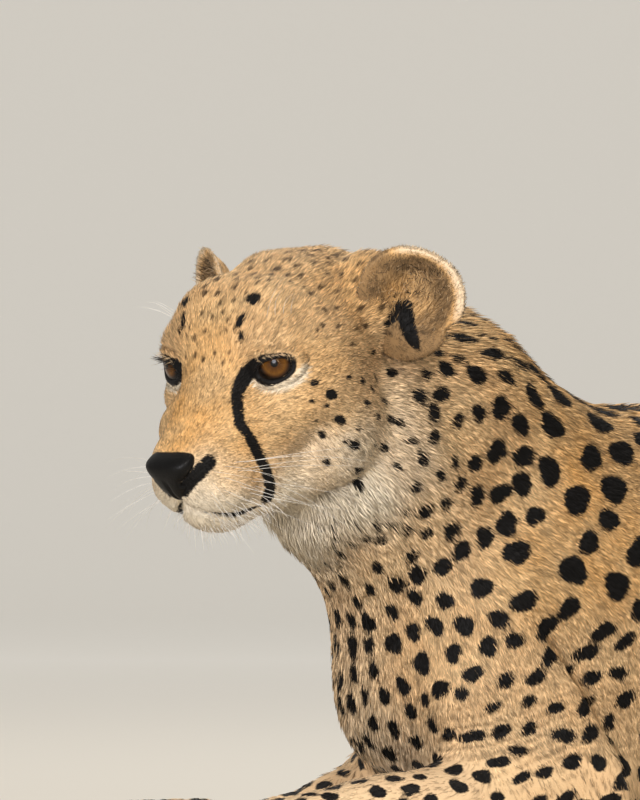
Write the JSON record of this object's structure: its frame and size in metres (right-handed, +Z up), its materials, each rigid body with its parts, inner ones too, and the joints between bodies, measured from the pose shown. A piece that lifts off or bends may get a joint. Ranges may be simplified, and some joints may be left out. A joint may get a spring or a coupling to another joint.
{
  "type": "cheetah",
  "caption": "Still, life-size cheetah lying on its chest with its head raised and turned a little to its left, legs folded and tail curled round.",
  "frame": {"origin": "on the floor, under the middle of the animal's outer box", "axes": "+Z up; the body lies along X with the nose and forepaws towards -X; its left side is towards -Y"},
  "size_m": [1.1102, 0.418, 0.3734],
  "materials": {
    "coat": "short golden-tan fur with solid black spots, white on the chin, throat and belly",
    "nose": "black pebbled nose leather with a soft sheen",
    "eye": "wet eyeball with an amber-brown iris and a round pupil",
    "claw": "dark polished claw horn"
  },
  "bodies": {
    "root": {"head": "coat", "muzzle": "coat", "lower_jaw": "coat", "eye_right": "eye", "ear_right": "coat", "eye_left": "eye", "ear_left": "coat", "nose": "nose", "neck": "coat", "chest": "coat", "belly": "coat", "hips": "coat", "upper_arm_left": "coat", "forearm_left": "coat", "forepaw_left": "coat", "thigh_left": "coat", "shank_left": "coat", "hindpaw_left": "coat", "fore_claw_left_1": "claw", "fore_claw_left_2": "claw", "fore_claw_left_3": "claw", "fore_claw_left_4": "claw", "hind_claw_left_1": "claw", "hind_claw_left_2": "claw", "hind_claw_left_3": "claw", "hind_claw_left_4": "claw", "upper_arm_right": "coat", "forearm_right": "coat", "forepaw_right": "coat", "thigh_right": "coat", "shank_right": "coat", "hindpaw_right": "coat", "fore_claw_right_1": "claw", "fore_claw_right_2": "claw", "fore_claw_right_3": "claw", "fore_claw_right_4": "claw", "hind_claw_right_1": "claw", "hind_claw_right_2": "claw", "hind_claw_right_3": "claw", "hind_claw_right_4": "claw", "tail_base": "coat", "tail_middle": "coat", "tail_tip": "coat"}
  },
  "joints": []
}
